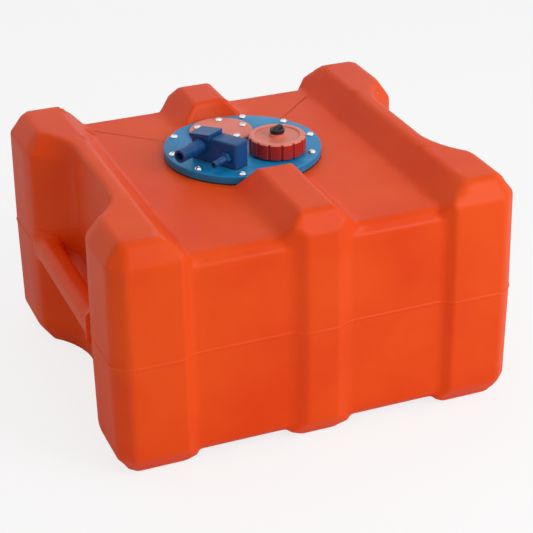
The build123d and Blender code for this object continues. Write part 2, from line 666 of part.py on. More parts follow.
def along_tail(shape, rise, t):
    """Lay a shape drawn along +Z so that it leaves the housing's front face."""
    return in_housing(Pos(0, 0, FLANGE_TOP + rise) * Rot(0, -90, 0) * shape, HOUSING_FRONT, t)


def housing_pad():
    pad = in_housing(housing_block(FLANGE_TOP, HOUSING_BASE), HOUSING_S, HOUSING_T)
    low = FLANGE_TOP - CUT_MARGIN
    high = HOUSING_BASE + CUT_MARGIN
    pad -= in_housing(rod(VENT_RISER_DIAMETER / 2 + SCREW_HOLE_GAP, low, high), HOUSING_S, VENT_T)
    pad -= in_housing(rod(FUEL_RISER_DIAMETER / 2, low, high), HOUSING_S, FUEL_T)
    hole = rod(HOUSING_SCREW_DIAMETER / 2 + SCREW_HOLE_GAP, low, high)
    return pad - [in_housing(hole, s, t) for s, t in housing_screw_places()]


def tail_pocket(diameter, length, bore):
    """Cutter for a tail's plug and for its passage through to the riser."""
    return rod(diameter / 2, -length - PLUG_GAP, CUT_MARGIN) + rod(bore / 2, -HOUSING_DEPTH / 2, CUT_MARGIN)


def fitting_housing():
    block = housing_block(HOUSING_BASE, HOUSING_TOP)
    block = fillet(block.edges().group_by(Axis.Z)[-1], HOUSING_ROUND / 2)
    cut_width = LID_LENGTH + LID_GROOVE
    step = Box(2 * HOUSING_DEPTH, cut_width, HOUSING_HEIGHT, align=CENTRE_MIN)
    block -= Pos(0, (HOUSING_LENGTH - cut_width) / 2, LID_SEAT) * step
    body = in_housing(block, HOUSING_S, HOUSING_T)
    low = HOUSING_BASE - CUT_MARGIN
    body -= in_housing(rod(VENT_RISER_DIAMETER / 2, low, LID_SEAT + CUT_MARGIN), HOUSING_S, VENT_T)
    body -= in_housing(rod(FUEL_RISER_DIAMETER / 2, low, FLANGE_TOP + FUEL_RISER_TOP), HOUSING_S, FUEL_T)
    vent_pocket = tail_pocket(VENT_PLUG_DIAMETER, VENT_PLUG_LENGTH, VENT_TAIL_BORE)
    body -= along_tail(vent_pocket, VENT_TAIL_RISE, VENT_T)
    fuel_pocket = tail_pocket(FUEL_PLUG_DIAMETER, FUEL_PLUG_LENGTH, FUEL_TAIL_BORE)
    body -= along_tail(fuel_pocket, FUEL_TAIL_RISE, FUEL_T)
    thread = rod(HOUSING_SCREW_DIAMETER / 2 + THREAD_GAP, low, HOUSING_BASE + HOUSING_SCREW_GRIP + CUT_MARGIN)
    return body - [in_housing(thread, s, t) for s, t in housing_screw_places()]


def housing_lid():
    """Wedge lid over the vent chamber, thick towards the groove that parts it from the block."""
    left = HOUSING_LENGTH / 2 + LID_OVERHANG
    right = HOUSING_LENGTH / 2 - LID_LENGTH
    section = Polygon(
        (left, LID_SEAT), (right, LID_SEAT), (right, LID_SEAT + LID_THICK), (left, LID_SEAT + LID_THIN),
        align=None,
    )
    half = HOUSING_DEPTH / 2 + LID_OVERHANG
    lid = extrude(Plane.YZ * section, half, both=True)
    lid = fillet(lid.edges().filter_by(Axis.Z), LID_OVERHANG)
    lid = in_housing(lid, HOUSING_S, HOUSING_T)
    plug = rod(VENT_RISER_DIAMETER / 2 - PLUG_GAP, LID_SEAT - LID_PLUG_DEPTH, LID_SEAT + CUT_MARGIN)
    return lid + in_housing(plug, HOUSING_S, VENT_T)


def housing_screws():
    """Screws that come up through the plate from below."""
    reach = FLANGE_TOP - GASKET_TOP + HOUSING_PAD + HOUSING_SCREW_GRIP
    screw = pan_screw(0, reach, HOUSING_SCREW_DIAMETER, HOUSING_SCREW_HEAD, HOUSING_SCREW_HEAD_HEIGHT)
    upright = Pos(0, 0, GASKET_TOP) * Rot(180, 0, 0) * screw
    return [in_housing(upright, s, t) for s, t in housing_screw_places()]


def barbs(radius, low, high):
    """Saw-tooth rings that bite the hose, between two heights along the tail."""
    pitch = (high - low) / BARB_RINGS
    stack = rod(radius, low, high)
    for index in range(BARB_RINGS):
        stack += Pos(0, 0, low + index * pitch) * Cone(radius + BARB_RISE, radius, pitch, align=CENTRE_MIN)
    return stack


def plug_end(diameter, length):
    """The part of a tail that goes into the housing, with its O-ring groove."""
    radius = diameter / 2 - PLUG_GAP
    low = -(length + ORING_SECTION) / 2
    groove = rod(radius + CUT_MARGIN, low, low + ORING_SECTION) - rod(radius - ORING_SECTION, -length, 0)
    return rod(radius, -length, 0) - groove


def vent_hose_tail():
    land_start = VENT_TAIL_LENGTH - VENT_TAIL_LAND
    tail = plug_end(VENT_PLUG_DIAMETER, VENT_PLUG_LENGTH)
    tail += rod(VENT_COLLAR_DIAMETER / 2, 0, VENT_COLLAR_LENGTH)
    tail += barbs(VENT_TAIL_DIAMETER / 2, VENT_COLLAR_LENGTH, land_start)
    tail += rod(VENT_TAIL_DIAMETER / 2, land_start, VENT_TAIL_LENGTH)
    tail -= rod(VENT_TAIL_BORE / 2, -VENT_PLUG_LENGTH - CUT_MARGIN, VENT_TAIL_LENGTH + CUT_MARGIN)
    return along_tail(tail, VENT_TAIL_RISE, VENT_T)


def fuel_hose_tail():
    land_start = FUEL_TAIL_LENGTH - FUEL_TAIL_LAND
    tail = plug_end(FUEL_PLUG_DIAMETER, FUEL_PLUG_LENGTH)
    tail += extrude(RegularPolygon(FUEL_HEX_ACROSS / 2, HEX_SIDES, major_radius=False), FUEL_HEX_LENGTH)
    tail += barbs(FUEL_TAIL_DIAMETER / 2, FUEL_HEX_LENGTH, land_start)
    tail += rod(FUEL_TAIL_DIAMETER / 2, land_start, FUEL_TAIL_LENGTH)
    tail -= rod(FUEL_TAIL_BORE / 2, -FUEL_PLUG_LENGTH - CUT_MARGIN, FUEL_TAIL_LENGTH + CUT_MARGIN)
    return along_tail(tail, FUEL_TAIL_RISE, FUEL_T)


def oring(diameter, length):
    """O-ring lying in the groove of a tail's plug."""
    outer = diameter / 2 - ORING_BITE
    middle = -length / 2
    half = ORING_SECTION / 2 - ORING_BITE
    return ring(outer, diameter / 2 - PLUG_GAP - ORING_SECTION + ORING_BITE, middle - half, middle + half)


def vent_tail_oring():
    return along_tail(oring(VENT_PLUG_DIAMETER, VENT_PLUG_LENGTH), VENT_TAIL_RISE, VENT_T)


def fuel_tail_oring():
    return along_tail(oring(FUEL_PLUG_DIAMETER, FUEL_PLUG_LENGTH), FUEL_TAIL_RISE, FUEL_T)


def ball_centre():
    """Height of the ball's centre when it rests over its seat's rim."""
    radius = BALL_DIAMETER / 2 + SEAT_GAP
    return FLANGE_TOP + (radius ** 2 - (BALL_SEAT_DIAMETER / 2) ** 2) ** 0.5


def fuel_valve_ball():
    return in_housing(Pos(0, 0, ball_centre()) * Sphere(BALL_DIAMETER / 2), HOUSING_S, FUEL_T)


def fuel_valve_spring():
    coil = SPRING_DIAMETER / 2
    reach = BALL_DIAMETER / 2 + SPRING_WIRE / 2 + FACE_GAP
    low = ball_centre() + (reach ** 2 - coil ** 2) ** 0.5
    high = FLANGE_TOP + FUEL_RISER_TOP - SPRING_WIRE / 2 - FACE_GAP
    path = Helix((high - low) / SPRING_TURNS, high - low, coil)
    wire = sweep(Plane(origin=path @ 0, z_dir=path % 0) * Circle(SPRING_WIRE / 2), path)
    return in_housing(Pos(0, 0, low) * wire, HOUSING_S, FUEL_T)


def pickup_tube():
    low = STRAINER_BASE + STRAINER_LENGTH - STRAINER_GRIP
    return in_housing(ring(TUBE_DIAMETER / 2, TUBE_BORE / 2, low, GASKET_TOP), HOUSING_S, FUEL_T)


def pickup_strainer():
    high = STRAINER_BASE + STRAINER_LENGTH
    chamber_top = high - STRAINER_GRIP
    body = rod(STRAINER_DIAMETER / 2, STRAINER_BASE, high)
    body -= rod(STRAINER_DIAMETER / 2 - STRAINER_WALL, STRAINER_BASE + STRAINER_WALL, chamber_top)
    body -= rod(TUBE_DIAMETER / 2 + THREAD_GAP, chamber_top - CUT_MARGIN, high + CUT_MARGIN)
    slot = Box(STRAINER_DIAMETER / 2, STRAINER_SLOT_WIDTH, STRAINER_SLOT_HEIGHT)
    slot = Pos(STRAINER_DIAMETER / 2, 0, (STRAINER_BASE + chamber_top) / 2) * slot
    body -= [Rot(0, 0, index * 360 / STRAINER_SLOTS) * slot for index in range(STRAINER_SLOTS)]
    return in_housing(body, HOUSING_S, FUEL_T)


def vent_float_cage():
    """Cage under the plate; its threaded spigot clamps the housing's vent end."""
    outer = CAGE_BORE / 2 + CAGE_WALL
    cage = rod(outer, CAGE_BASE, GASKET_TOP)
    cage += rod(VENT_RISER_DIAMETER / 2 - THREAD_GAP, CAGE_BASE, HOUSING_BASE + CAGE_SPIGOT_REACH)
    cage -= rod(CAGE_BORE / 2, CAGE_BASE + CAGE_END, GASKET_TOP - CAGE_END)
    cage -= rod(CAGE_SPIGOT_BORE / 2, CAGE_BASE - CUT_MARGIN, HOUSING_BASE + CAGE_SPIGOT_REACH + CUT_MARGIN)
    slot = Pos(outer, 0, CAGE_BASE + CAGE_LENGTH / 2) * Box(outer, CAGE_SLOT_WIDTH, CAGE_SLOT_HEIGHT)
    cage -= [Rot(0, 0, index * 360 / CAGE_SLOTS) * slot for index in range(CAGE_SLOTS)]
    return in_housing(cage, HOUSING_S, VENT_T)


def vent_float():
    low = CAGE_BASE + CAGE_END + FACE_GAP
    body = rod(FLOAT_DIAMETER / 2, low, low + FLOAT_HEIGHT - FLOAT_NOSE)
    nose = Cone(FLOAT_DIAMETER / 2, CAGE_SPIGOT_BORE / 2, FLOAT_NOSE, align=CENTRE_MIN)
    return in_housing(body + Pos(0, 0, low + FLOAT_HEIGHT - FLOAT_NOSE) * nose, HOUSING_S, VENT_T)


PIECES = [
    tank_shell, flange_inserts, flange_gasket, flange_plate, flange_screws,
    sender_bushes, sender_gasket, sender_cover, sender_screws,
    filler_neck, filler_cap, cap_gasket, vent_knob, vent_washer,
    housing_pad, fitting_housing, housing_lid, housing_screws,
    vent_hose_tail, vent_tail_oring, fuel_hose_tail, fuel_tail_oring,
    fuel_valve_ball, fuel_valve_spring, pickup_tube, pickup_strainer,
    vent_float_cage, vent_float,
]

os.makedirs("parts", exist_ok=True)
for piece in PIECES:
    made = piece()
    if isinstance(made, list):
        made = Compound(children=made)
    export_step(made, f"parts/{piece.__name__}.step")
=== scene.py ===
import json
from math import cos, hypot, pi, radians, sin, tan

import bmesh
import bpy
import numpy as np
from mathutils import Matrix, Vector


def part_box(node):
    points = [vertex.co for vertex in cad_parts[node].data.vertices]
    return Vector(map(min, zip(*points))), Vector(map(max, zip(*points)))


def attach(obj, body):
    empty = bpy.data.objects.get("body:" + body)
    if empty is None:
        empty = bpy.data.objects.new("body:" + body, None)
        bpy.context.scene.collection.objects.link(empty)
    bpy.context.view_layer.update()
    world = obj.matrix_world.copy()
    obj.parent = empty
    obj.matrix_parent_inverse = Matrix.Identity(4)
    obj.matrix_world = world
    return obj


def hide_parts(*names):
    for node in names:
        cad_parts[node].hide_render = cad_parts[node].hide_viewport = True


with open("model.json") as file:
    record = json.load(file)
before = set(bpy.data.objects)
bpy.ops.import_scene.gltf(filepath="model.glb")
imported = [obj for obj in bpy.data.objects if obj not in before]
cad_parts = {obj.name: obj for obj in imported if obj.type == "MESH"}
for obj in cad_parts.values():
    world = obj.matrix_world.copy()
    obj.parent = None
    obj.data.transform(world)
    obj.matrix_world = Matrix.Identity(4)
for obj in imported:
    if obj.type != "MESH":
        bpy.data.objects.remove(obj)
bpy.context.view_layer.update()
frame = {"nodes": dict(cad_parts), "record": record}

# Portable outboard fuel tank: a soft-edged moulded shell with two carrying bars, and a round
# flange that carries the filler cap, the sender cover and the fitting block with its hose tails.
# Lengths are in millimetres until a mesh is made. X along the length, -Y the front, +Z up.
MM = 0.001


def corners(node):
    """Lowest and highest corner of a solid, in millimetres."""
    low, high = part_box(node)
    return np.array(low) / MM, np.array(high) / MM


def middle(node):
    """Middle of a solid's box, in millimetres."""
    low, high = corners(node)
    return (low + high) / 2


# ---- shell ----
BEAD_PROUD = 1.0
BEAD_HALF_WIDTH = 2.4
SHELL_HIGH = corners("tank_shell")[1]
HALF_LENGTH = SHELL_HIGH[0] - BEAD_PROUD
HALF_WIDTH = SHELL_HIGH[1] - BEAD_PROUD
TOP = SHELL_HIGH[2]
PARTING = TOP / 2
DECK = corners("flange_gasket")[0][2]
FLANGE_X, FLANGE_Y, _ = middle("flange_gasket")
FLANGE_RADIUS = corners("flange_gasket")[1][0] - FLANGE_X
WALL = 5.0
BELLY = 9.0
DRAFT = tan(radians(0.8))
CORNER_CHAMFER = 18.0
EDGE_RUN = 17.0
EDGE_FALL = 25.0
PANEL_DROP = 9.5
PANEL_EDGE = 12.0
CORE_HALF_LENGTH = 190.0
RIB_TOP = (21.0, 46.0)
RIB_SIDE = (19.0, 35.5)
RIB_FOOT = (21.0, 35.0)
RAIL_TOP = (183.0, 154.0)
RAIL_SIDE = (167.0, 155.0)
RAIL_FOOT = (167.0, 155.0)
NOTCH_FLOOR_X = 203.5
NOTCH_FLOOR_HALF = 75.0
NOTCH_FLOOR_SHARE = 0.15
NOTCH_LIP_X = 246.5
NOTCH_LIP_LEAN = radians(12)
NOSE_GAP = 2.5
NOSE_LEAN = 11.0
DECK_HOLE_RADIUS = 78.0
DECK_RING_DEPTH = 16.0

# Roundings: the radius, in the fields below, at which two faces start to blend.
EDGE_ROUND = 5.0
KINK_BLEND = 2.6
CORNER_ROUND = 4.0
LIP_ROUND = 4.0
NOTCH_HOLLOW_ROUND = 8.0
BAND_ROUND = 3.4
TAPER_ROUND = 1.8
HOLLOW_ROUND = 3.4
NOSE_ROUND = 4.5

# ---- grid of the shell ----
COLUMNS = 430
FINE_COLUMNS = 8000
HALVINGS = 26
RAY_REACH = 120.0
INNER_HALF_LENGTH = 150.0
INNER_HALF_WIDTH = 130.0
CORNER_SHARE = 150.0
PIVOT_DEPTH = 40.0
SHOULDER = 69.0
FLAT_SPACING = 10.0
TURN_COLUMNS = 12.0
TURN_SMOOTH = 61
OUTER_ROWS = {"deck": 62, "fan": 30, "side": 12, "belly": 22}
INNER_ROWS = {"deck": 8, "fan": 6, "side": 3, "belly": 6}

# ---- carrying bars ----
BAR_DEPTH = 28.0
BAR_HEIGHT = 34.0
BAR_ROUND = 12.0
BAR_SET_BACK = 0.5
BAR_END = 116.0
BAR_FLARE_REACH = 14.0
BAR_FLARE = 6.0
BAR_SIDES = 56
BAR_ROWS = 90


def round_max(radius, *fields):
    """Rounded intersection: the largest field, with a quarter circle of this radius where two meet."""
    parts = np.broadcast_arrays(*fields)
    over = sum(np.maximum(part + radius, 0) ** 2 for part in parts)
    return np.minimum(np.maximum.reduce(parts), -radius) + np.sqrt(over)


def round_min(radius, *fields):
    """Rounded union, the mirror image of round_max."""
    return -round_max(radius, *[-field for field in fields])


def soft_ramp(value, blend):
    """The value where positive and 0 elsewhere, joined by a parabola that reaches blend to each side."""
    return np.maximum(value, 0) + np.maximum(blend - np.abs(value), 0) ** 2 / (4 * blend)


def line_side(u, v, start, end):
    """Distance from the line through start and end in the (u, v) plane, positive on its left."""
    along = np.subtract(end, start)
    return ((v - start[1]) * along[0] - (u - start[0]) * along[1]) / hypot(*along)


def edge_inset(z, low, high, run, fall):
    """How far a wall stands in near its top and bottom: run over fall, with soft kinks."""
    rise = soft_ramp((z - high + fall) * run / fall, KINK_BLEND)
    return rise + soft_ramp((low + fall - z) * run / fall, KINK_BLEND)


def core_field(y, z, lean):
    """The recessed body between the bands: deck, side panels and belly, with sloped long edges."""
    inset = lean + edge_inset(z, BELLY, DECK, PANEL_EDGE, PANEL_EDGE)
    return round_max(HOLLOW_ROUND, y - HALF_WIDTH + PANEL_DROP + inset, z - DECK, BELLY - z)


def band_field(x, y, z, inset, lean, nose):
    """The middle band, whose sides slope to the deck, to the panels and to the belly."""
    taper = line_side(x, y + lean, (RIB_SIDE[0], HALF_WIDTH), (RIB_SIDE[1], HALF_WIDTH - PANEL_DROP))
    face = round_max(TAPER_ROUND, taper, y - HALF_WIDTH + inset)
    slope = line_side(x, z, (RIB_TOP[0], TOP), (RIB_TOP[1], DECK))
    foot = line_side(x, z, (RIB_FOOT[1], BELLY), (RIB_FOOT[0], 0))
    return round_max(NOSE_ROUND, round_max(BAND_ROUND, face, slope, foot, z - TOP, -z), nose)


def frame_field(x, y, z, inset, lean, bead):
    """The end bands with their cut corners and hand notches, whose floor slopes less than the
    flanks."""
    flank = (x - y - NOTCH_FLOOR_X + NOTCH_FLOOR_HALF) / 2 ** 0.5
    lip_y = NOTCH_FLOOR_HALF + NOTCH_LIP_X - NOTCH_FLOOR_X
    lip = (x - NOTCH_LIP_X) * cos(NOTCH_LIP_LEAN) - (y - lip_y) * sin(NOTCH_LIP_LEAN)
    floor = x - NOTCH_FLOOR_X - (1 - NOTCH_FLOOR_SHARE) * (inset + bead)
    notch = round_min(NOTCH_HOLLOW_ROUND, floor, round_max(LIP_ROUND, flank, lip))
    chamfer = (x + y - HALF_LENGTH - HALF_WIDTH + CORNER_CHAMFER) / 2 ** 0.5
    plan = round_max(CORNER_ROUND, x - HALF_LENGTH, y - HALF_WIDTH, chamfer, notch) + inset
    taper = line_side(x, y + lean, (RAIL_SIDE[1], HALF_WIDTH - PANEL_DROP), (RAIL_SIDE[0], HALF_WIDTH))
    plan = round_max(TAPER_ROUND, plan, taper)
    slope = line_side(x, z, (RAIL_TOP[1], DECK), (RAIL_TOP[0], TOP))
    foot = line_side(x, z, (RAIL_FOOT[0], 0), (RAIL_FOOT[1], BELLY))
    return round_max(BAND_ROUND, slope, foot, round_max(EDGE_ROUND, plan, z - TOP, -z))


def shell_field(x, y, z):
    """Field of the outer form, negative inside: rounded union of the core, the middle band and the
    end bands, each a rounded intersection of leaning planes, with the nose cone round the flange cut."""
    nose = FLANGE_RADIUS + NOSE_GAP + NOSE_LEAN * (z - DECK) / (TOP - DECK)
    nose = nose - np.hypot(x - FLANGE_X, y - FLANGE_Y)
    nose = np.where(z > PARTING, nose, -TOP)
    x = np.abs(x)
    y = np.abs(y)
    bead = BEAD_PROUD * np.clip(1 - ((z - PARTING) / BEAD_HALF_WIDTH) ** 2, 0, 1) ** 2
    lean = DRAFT * np.abs(z - PARTING) - bead
    inset = lean + edge_inset(z, 0, TOP, EDGE_RUN, EDGE_FALL)
    core = np.maximum(core_field(y, z, lean), x - CORE_HALF_LENGTH)
    band = band_field(x, y, z, inset, lean, nose)
    return round_min(HOLLOW_ROUND, core, band, frame_field(x, y, z, inset, lean, bead))


def cast(origin, heading, depth=0.0):
    """Points where rays from inside meet the outer form, or the form set in by depth, by halving."""
    near = np.zeros(origin.shape[:-1])
    far = np.full(origin.shape[:-1], RAY_REACH)
    for _ in range(HALVINGS):
        half = (near + far) / 2
        inside = shell_field(*np.moveaxis(origin + heading * half[..., None], -1, 0)) < -depth
        near = np.where(inside, half, near)
        far = np.where(inside, far, half)
    return origin + heading * far[..., None]


def inner_rectangle(way):
    """Point and outward heading on a rectangle inside the shell, for a way 0..1 round it: the point
    walks the sides, and stops at each corner while the heading turns a quarter."""
    a = INNER_HALF_LENGTH
    b = INNER_HALF_WIDTH
    steps = [0.0, 2 * b, CORNER_SHARE, 2 * a, CORNER_SHARE, 2 * b, CORNER_SHARE, 2 * a, CORNER_SHARE]
    stops = np.cumsum(steps)
    place = way * stops[-1]
    x = np.interp(place, stops, [a, a, a, -a, -a, -a, -a, a, a])
    y = np.interp(place, stops, [-b, b, b, b, b, -b, -b, -b, -b])
    turn = np.interp(place, stops, np.array([0, 0, 1, 1, 2, 2, 3, 3, 4]) * pi / 2)
    point = np.stack([x, y, np.zeros_like(x)], axis=-1)
    return point, np.stack([np.cos(turn), np.sin(turn), np.zeros_like(x)], axis=-1)


def outline(way):
    """The shell's plan, just above its bead, with the headings of the rays that find it."""
    point, heading = inner_rectangle(way)
    level = np.array([0, 0, PARTING + 2 * BEAD_HALF_WIDTH])
    return cast(point + level, heading) - level, heading


def column_ways():
    """Ways round the shell, spread by the plan's length plus its turning, so that corners get more."""
    way = np.arange(FINE_COLUMNS) / FINE_COLUMNS
    plan = outline(way)[0]
    step = np.roll(plan, -1, axis=0) - plan
    bearing = np.arctan2(step[:, 1], step[:, 0])
    turning = np.abs(np.angle(np.exp(1j * (bearing - np.roll(bearing, 1)))))
    kernel = np.hanning(TURN_SMOOTH)
    wide = np.convolve(np.tile(turning, 3), kernel / kernel.sum(), mode="same")
    turning = wide[FINE_COLUMNS:2 * FINE_COLUMNS]
    measure = np.cumsum(np.hypot(step[:, 0], step[:, 1]) / FLAT_SPACING + TURN_COLUMNS * turning)
    return np.interp(np.arange(COLUMNS) * measure[-1] / COLUMNS, measure, way)


def spread_along(points, count):
    """Count points at even steps along a polyline."""
    points = np.array(points, float)
    length = np.append(0, np.cumsum(np.hypot(*np.diff(points, axis=0).T)))
    even = np.linspace(0, length[-1], count)
    across, up = (np.interp(even, length, points[:, side]) for side in (0, 1))
    return np.stack([across, up], axis=-1)


def side_levels(count, bead):
    """Heights of the side's rows, from the upper shoulder down, close together over the bead."""
    levels = np.linspace(TOP - SHOULDER, SHOULDER, count)
    if bead:
        levels = levels[np.abs(levels - PARTING) > 3 * BEAD_HALF_WIDTH]
        ridge = PARTING + np.linspace(-1.5, 1.5, 11) * BEAD_HALF_WIDTH
        levels = np.concatenate([levels, ridge])
    return np.sort(levels)[::-1]


def shell_rays(plan, heading, rows, hole_radius, bead):
    """Rays for the rows of the shell: up from the deck, fanned over the top edge, out through the side,
    fanned over the bottom edge and down through the belly."""
    centre = np.array([FLANGE_X, FLANGE_Y, 0])
    up = np.array([0, 0, 1.0])
    high = TOP - SHOULDER
    pivot = plan - PIVOT_DEPTH * heading
    outward = pivot - centre
    rim = centre + hole_radius * outward / np.linalg.norm(outward, axis=-1, keepdims=True)
    share = np.linspace(0, 1, rows["deck"])[:, None, None]
    deck = rim * (1 - share) + pivot * share + up * high
    corner = [
        (0, SHOULDER), (PIVOT_DEPTH - EDGE_RUN, SHOULDER),
        (PIVOT_DEPTH, SHOULDER - EDGE_FALL), (PIVOT_DEPTH, 0)]
    aim = spread_along(corner, rows["fan"] + 2)[1:-1, None, None]
    aim = aim / np.linalg.norm(aim, axis=-1, keepdims=True)
    top_fan = aim[..., 0] * heading + aim[..., 1] * up
    low_fan = (aim[..., 0] * heading - aim[..., 1] * up)[::-1]
    levels = side_levels(rows["side"], bead)[:, None, None]
    share = np.linspace(1, 0, rows["belly"] + 1)[:-1, None, None]
    belly = centre * (1 - share) + pivot * share + up * SHOULDER
    top_pivots = pivot + up * high + 0 * top_fan
    low_pivots = pivot + up * SHOULDER + 0 * low_fan
    origins = [deck, top_pivots, pivot + up * levels, low_pivots, belly]
    headings = [up + 0 * deck, top_fan, heading + 0 * up * levels, low_fan, -up + 0 * belly]
    return np.concatenate(origins), np.concatenate(headings)


def close_grid(points, wrap=False):
    """Faces of a grid whose columns close round: the rows wrap too, or end in poles at their means."""
    rows, columns = points.shape[:2]
    index = np.arange(rows * columns).reshape(rows, columns)
    index = np.concatenate([index, index[:1]]) if wrap else index
    right = np.roll(index, -1, axis=1)
    quads = np.stack([index[:-1], index[1:], right[1:], right[:-1]], axis=-1).reshape(-1, 4)
    verts = points.reshape(-1, 3)
    faces = quads.tolist()
    if not wrap:
        verts = np.concatenate([verts, points[:1].mean(axis=1), points[-1:].mean(axis=1)])
        first = np.full(columns, rows * columns)
        faces += np.stack([first, index[0], right[0]], axis=-1).tolist()
        faces += np.stack([first + 1, right[-1], index[-1]], axis=-1).tolist()
    return verts, faces


def outward_faces(verts, faces):
    """The faces, all turned round if the solid they bound has a negative volume."""
    starts = np.array([face[:3] for face in faces])
    ends = np.array([[face[0], face[2], face[-1]] for face in faces])
    volume = 0.0
    for three in (starts, ends):
        a, b, c = (verts[three[:, k]] for k in range(3))
        volume += np.einsum("ij,ij->", a, np.cross(b, c))
    return [face[::-1] for face in faces] if volume < 0 else faces


def make_piece(name, solids, body, finish, replaces=(), sharp=45):
    """Object from closed solids, each (vertices in millimetres, faces), smooth but for sharp edges."""
    verts = []
    faces = []
    for solid_verts, solid_faces in solids:
        start = sum(len(group) for group in verts)
        turned = outward_faces(solid_verts, solid_faces)
        faces += [[start + index for index in face] for face in turned]
        verts.append(solid_verts)
    mesh = bpy.data.meshes.new(name)
    mesh.from_pydata((np.concatenate(verts) * MM).tolist(), [], faces)
    mesh.validate()
    return dress(name, mesh, body, finish, replaces, sharp)


def dress(name, mesh, body, finish, replaces, sharp):
    """Link a mesh as a piece with its finish and body, and hide the nodes it replaces."""
    mesh.polygons.foreach_set("use_smooth", np.ones(len(mesh.polygons), bool))
    mesh.set_sharp_from_angle(angle=radians(sharp))
    mesh.materials.clear()
    mesh.materials.append(finish)
    piece = bpy.data.objects.new(name, mesh)
    bpy.context.scene.collection.objects.link(piece)
    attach(piece, body)
    if replaces:
        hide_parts(*replaces)
    return piece


def shell_solid():
    """Outer and inner faces of the shell as one grid that closes at two poles under the flange."""
    plan, heading = outline(column_ways())
    outer = cast(*shell_rays(plan, heading, OUTER_ROWS, DECK_HOLE_RADIUS, True))
    inner = cast(*shell_rays(plan, heading, INNER_ROWS, FLANGE_RADIUS, False), depth=WALL)
    rim = outer[0]
    low_rim = rim - [0, 0, DECK_RING_DEPTH]
    ring = inner[0] * [1, 1, 0] + [0, 0, DECK - DECK_RING_DEPTH]
    return close_grid(np.concatenate([inner[::-1], ring[None], low_rim[None], outer]))


def bar_solid(side):
    """Carrying bar: a rounded rectangle carried along Y, flared as 1 - distance over reach,
    squared, where it comes near the notch's flanks."""
    angle = np.linspace(0, 2 * pi, BAR_SIDES, endpoint=False) + pi / BAR_SIDES
    half = np.array([BAR_DEPTH / 2 - BAR_ROUND, BAR_HEIGHT / 2 - BAR_ROUND])
    normal = np.stack([np.cos(angle), np.sin(angle)], axis=-1)
    section = np.sign(normal) * half + BAR_ROUND * normal
    y = np.linspace(-BAR_END, BAR_END, BAR_ROWS)[:, None]
    x = HALF_LENGTH - BAR_SET_BACK - BAR_DEPTH / 2 + section[:, 0]
    gap = (NOTCH_FLOOR_HALF - NOTCH_FLOOR_X + x - np.abs(y)) / 2 ** 0.5
    flare = BAR_FLARE * np.clip(1 - gap / BAR_FLARE_REACH, 0, 1) ** 2
    spread_x = np.minimum(x + flare * normal[:, 0], HALF_LENGTH)
    spread_z = PARTING + section[:, 1] + flare * normal[:, 1]
    return close_grid(np.stack([side * spread_x, y + 0 * flare, spread_z], axis=-1))


def soften(points, cuts, closed=False, steps=4):
    """Polyline whose corners are cut back by the given lengths and joined by parabolas."""
    points = np.array(points, float)
    cuts = np.broadcast_to(np.asarray(cuts, float), len(points))
    before = np.roll(points, 1, axis=0) - points
    after = np.roll(points, -1, axis=0) - points
    before /= np.maximum(np.linalg.norm(before, axis=1, keepdims=True), 1e-9)
    after /= np.maximum(np.linalg.norm(after, axis=1, keepdims=True), 1e-9)
    start = points + before * cuts[:, None]
    end = points + after * cuts[:, None]
    share = np.linspace(0, 1, steps + 1)[:, None, None]
    bend = start * (1 - share) ** 2 + 2 * points * share * (1 - share) + end * share ** 2
    bend = bend.transpose(1, 0, 2)
    if closed:
        return bend.reshape(-1, 2)
    return np.concatenate([points[:1], bend[1:-1].reshape(-1, 2), points[-1:]])


def revolve(profile, sides, swell=None):
    """Grid of a profile (radius, height) turned about Z, its radius scaled by
    swell(radius, height, angle)."""
    angle = np.arange(sides) * 2 * pi / sides
    radius = profile[:, 0, None] + 0 * angle
    height = profile[:, 1, None] + 0 * angle
    if swell:
        radius = radius * swell(radius, height, angle)
    return np.stack([radius * np.cos(angle), radius * np.sin(angle), height], axis=-1)


def lay(points, origin, axis):
    """Carry points drawn along +Z so that +Z follows axis, a level direction, from origin."""
    axis = np.array(axis, float)
    side = np.array([-axis[1], axis[0], 0])
    basis = np.stack([np.array([0, 0, 1.0]), side, axis])
    return points @ basis + np.array(origin)


# ---- finishes ----
class Wire:
    """One value in a material. Python's operators on it add Math nodes."""

    def __init__(self, finish, socket):
        self.finish = finish
        self.socket = socket

    def maths(self, operation, first, second):
        return self.finish.node("ShaderNodeMath", {"operation": operation}, {0: first, 1: second})

    def __add__(self, other):
        return self.maths("ADD", self, other)

    __radd__ = __add__

    def __sub__(self, other):
        return self.maths("SUBTRACT", self, other)

    def __rsub__(self, other):
        return self.maths("SUBTRACT", other, self)

    def __mul__(self, other):
        return self.maths("MULTIPLY", self, other)

    __rmul__ = __mul__

    def above(self, level, gain):
        """How far the value is above a level, times a gain, held between 0 and 1."""
        settings = {"operation": "MULTIPLY", "use_clamp": True}
        return self.finish.node("ShaderNodeMath", settings, {0: self - level, 1: gain})


